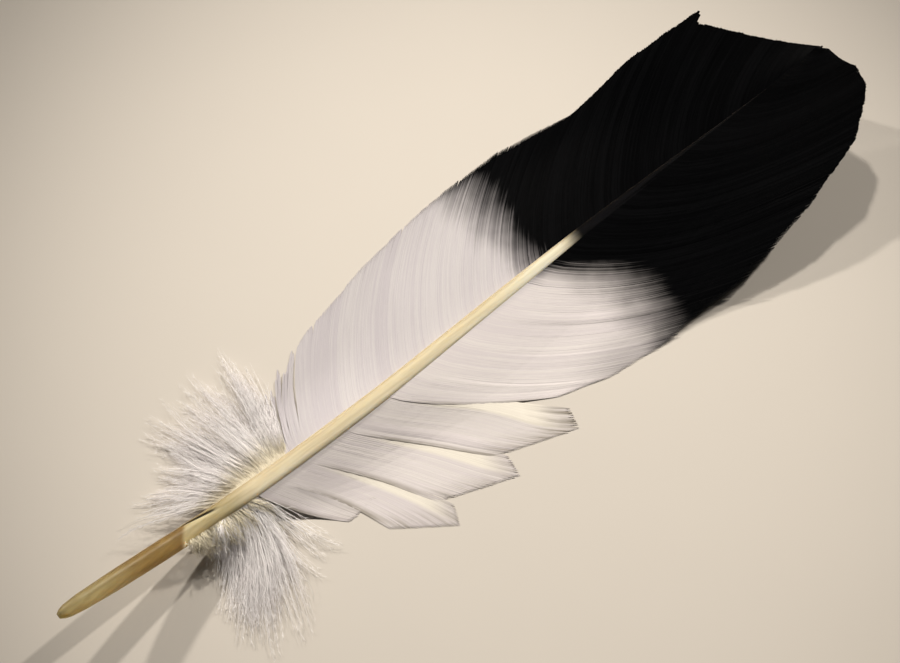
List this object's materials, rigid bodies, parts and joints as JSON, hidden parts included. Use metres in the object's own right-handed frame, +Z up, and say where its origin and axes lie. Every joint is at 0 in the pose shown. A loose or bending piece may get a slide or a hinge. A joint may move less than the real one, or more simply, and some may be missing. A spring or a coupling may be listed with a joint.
{
  "type": "eagle feather",
  "caption": "Broad tail feather, white with a black end, lying hollow side up: horny shaft, a vane on each side, one of them split into locks near the base, and soft down tufts.",
  "frame": {"origin": "centre of the feather's bounding box at table height, so the feather lies on the origin's level", "axes": "+X along the shaft from the quill to the tip, +Y to the left vane seen from above with the tip ahead, +Z up, out of the hollow side"},
  "size_m": [0.3128, 0.0978, 0.0241],
  "materials": {
    "shaft_horn": "horn: olive brown and slightly see-through at the quill, ivory along the white part, black at the end, satin",
    "vane_barbs": "fine parallel barbs, white with a soft lilac cast for three fifths of the length, then black with a faint gloss",
    "down": "loose matt down, off-white"
  },
  "bodies": {
    "root": {"shaft": "shaft_horn", "left_vane": "vane_barbs", "right_vane": "vane_barbs", "left_down": "down", "right_down": "down"}
  },
  "joints": []
}
